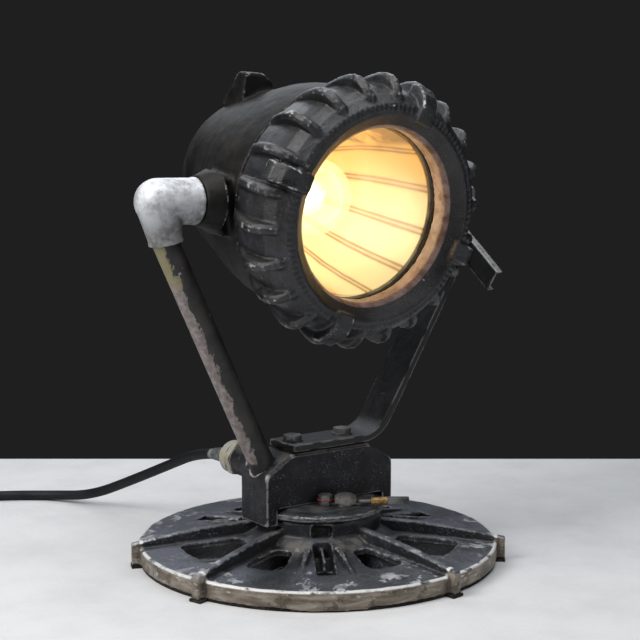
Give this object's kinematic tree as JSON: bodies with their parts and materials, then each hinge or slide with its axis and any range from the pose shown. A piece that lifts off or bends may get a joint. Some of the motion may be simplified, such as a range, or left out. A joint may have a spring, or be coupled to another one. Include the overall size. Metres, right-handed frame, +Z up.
{
  "type": "industrial floodlight",
  "caption": "Round-based industrial floodlight with a swivel junction box, a yoke of pipe and flat bar, a tilting lamp body and a finned screw-on glass ring.",
  "frame": {"origin": "on the floor under the centre of the round base", "axes": "+Z up, -Y the way the lamp looks at rest, X along the tilt axis with the pipe arm at -X"},
  "size_m": [0.6055, 0.6794, 0.5111],
  "materials": {
    "black_iron": "worn black paint over grey iron",
    "black_casting": "worn black paint over grey casting",
    "black_steel": "worn black paint",
    "steel": "dull bare steel",
    "bronze": "dull bronze",
    "brass": "dull brass",
    "silver_paint": "silver-white paint",
    "cream_paint": "cream paint, stained",
    "rubber": "dark rubber",
    "cord_rubber": "black rubber",
    "red_wire": "red coated wire",
    "black_plastic": "moulded",
    "insulation": "wire insulation",
    "reflector": "satin aluminium",
    "porcelain": "glazed porcelain",
    "glass": "clear",
    "tungsten": "glowing wire"
  },
  "bodies": {
    "base": {"base_casting": "black_iron", "base_pad": "rubber", "thrust_washer": "bronze"},
    "pan": {"swivel_flange": "black_iron", "swivel_stud": "steel", "swivel_washer": "steel", "swivel_nut": "steel", "flange_screws": "steel", "junction_box": "black_casting", "box_gasket": "rubber", "terminal_block": "black_plastic", "terminal_screws": "steel", "arm_bar": "black_steel", "arm_bolts": "black_steel", "arm_washers": "steel", "conduit_arm": "black_steel", "conduit_elbow": "silver_paint", "trunnion_nipple": "steel", "arm_wires": "insulation", "trunnion_spacer": "steel", "trunnion_washer": "steel", "gland_body": "cream_paint", "gland_nut": "cream_paint", "cord_relief": "rubber", "cord_tube": "cord_rubber", "cord_coil": "cord_rubber", "cord_tie": "rubber", "cord_tail": "cord_rubber", "plug_body": "black_plastic", "plug_blades": "brass"},
    "pan_lock": {"pan_lock_bolt": "steel", "pan_lock_lever": "steel", "pan_lock_sleeve": "brass", "lock_wire": "red_wire"},
    "head": {"housing": "black_casting", "ring_seal": "rubber", "reflector": "reflector", "reflector_clips": "steel", "socket_body": "porcelain", "socket_shell": "brass", "socket_contact": "brass", "socket_bracket": "steel", "socket_screws": "steel", "bulb_glass": "glass", "bulb_cap": "brass", "bulb_stem": "glass", "bulb_filament": "tungsten", "head_wires": "insulation", "trunnion_bolt": "steel", "lever_nut": "steel"},
    "cover": {"cover_ring": "black_casting", "lens_glass": "glass", "lens_gasket": "rubber", "lens_retainer": "steel"},
    "tilt_lock": {"tilt_lock_lever": "black_steel"}
  },
  "joints": [
    {"name": "base_pan", "type": "hinge", "parent": "base", "child": "pan", "pos_m": [0, 0, 0.053], "axis": [0, 0, 1], "range_deg": [-170, 170]},
    {"name": "pan_lock_turn", "type": "hinge", "parent": "pan", "child": "pan_lock", "pos_m": [0.002, -0.047, 0.064], "axis": [0, 0, 1], "range_deg": [0, 15]},
    {"name": "head_tilt", "type": "hinge", "parent": "pan", "child": "head", "pos_m": [0, 0, 0.38], "axis": [1, 0, 0], "range_deg": [-90, 80]},
    {"name": "cover_ring_turn", "type": "hinge", "parent": "head", "child": "cover", "pos_m": [0, 0, 0.38], "axis": [0, -0.9882, -0.153], "continuous": true},
    {"name": "tilt_lock_turn", "type": "hinge", "parent": "head", "child": "tilt_lock", "pos_m": [0.18, 0, 0.38], "axis": [1, 0, 0], "range_deg": [-60, 0]}
  ]
}
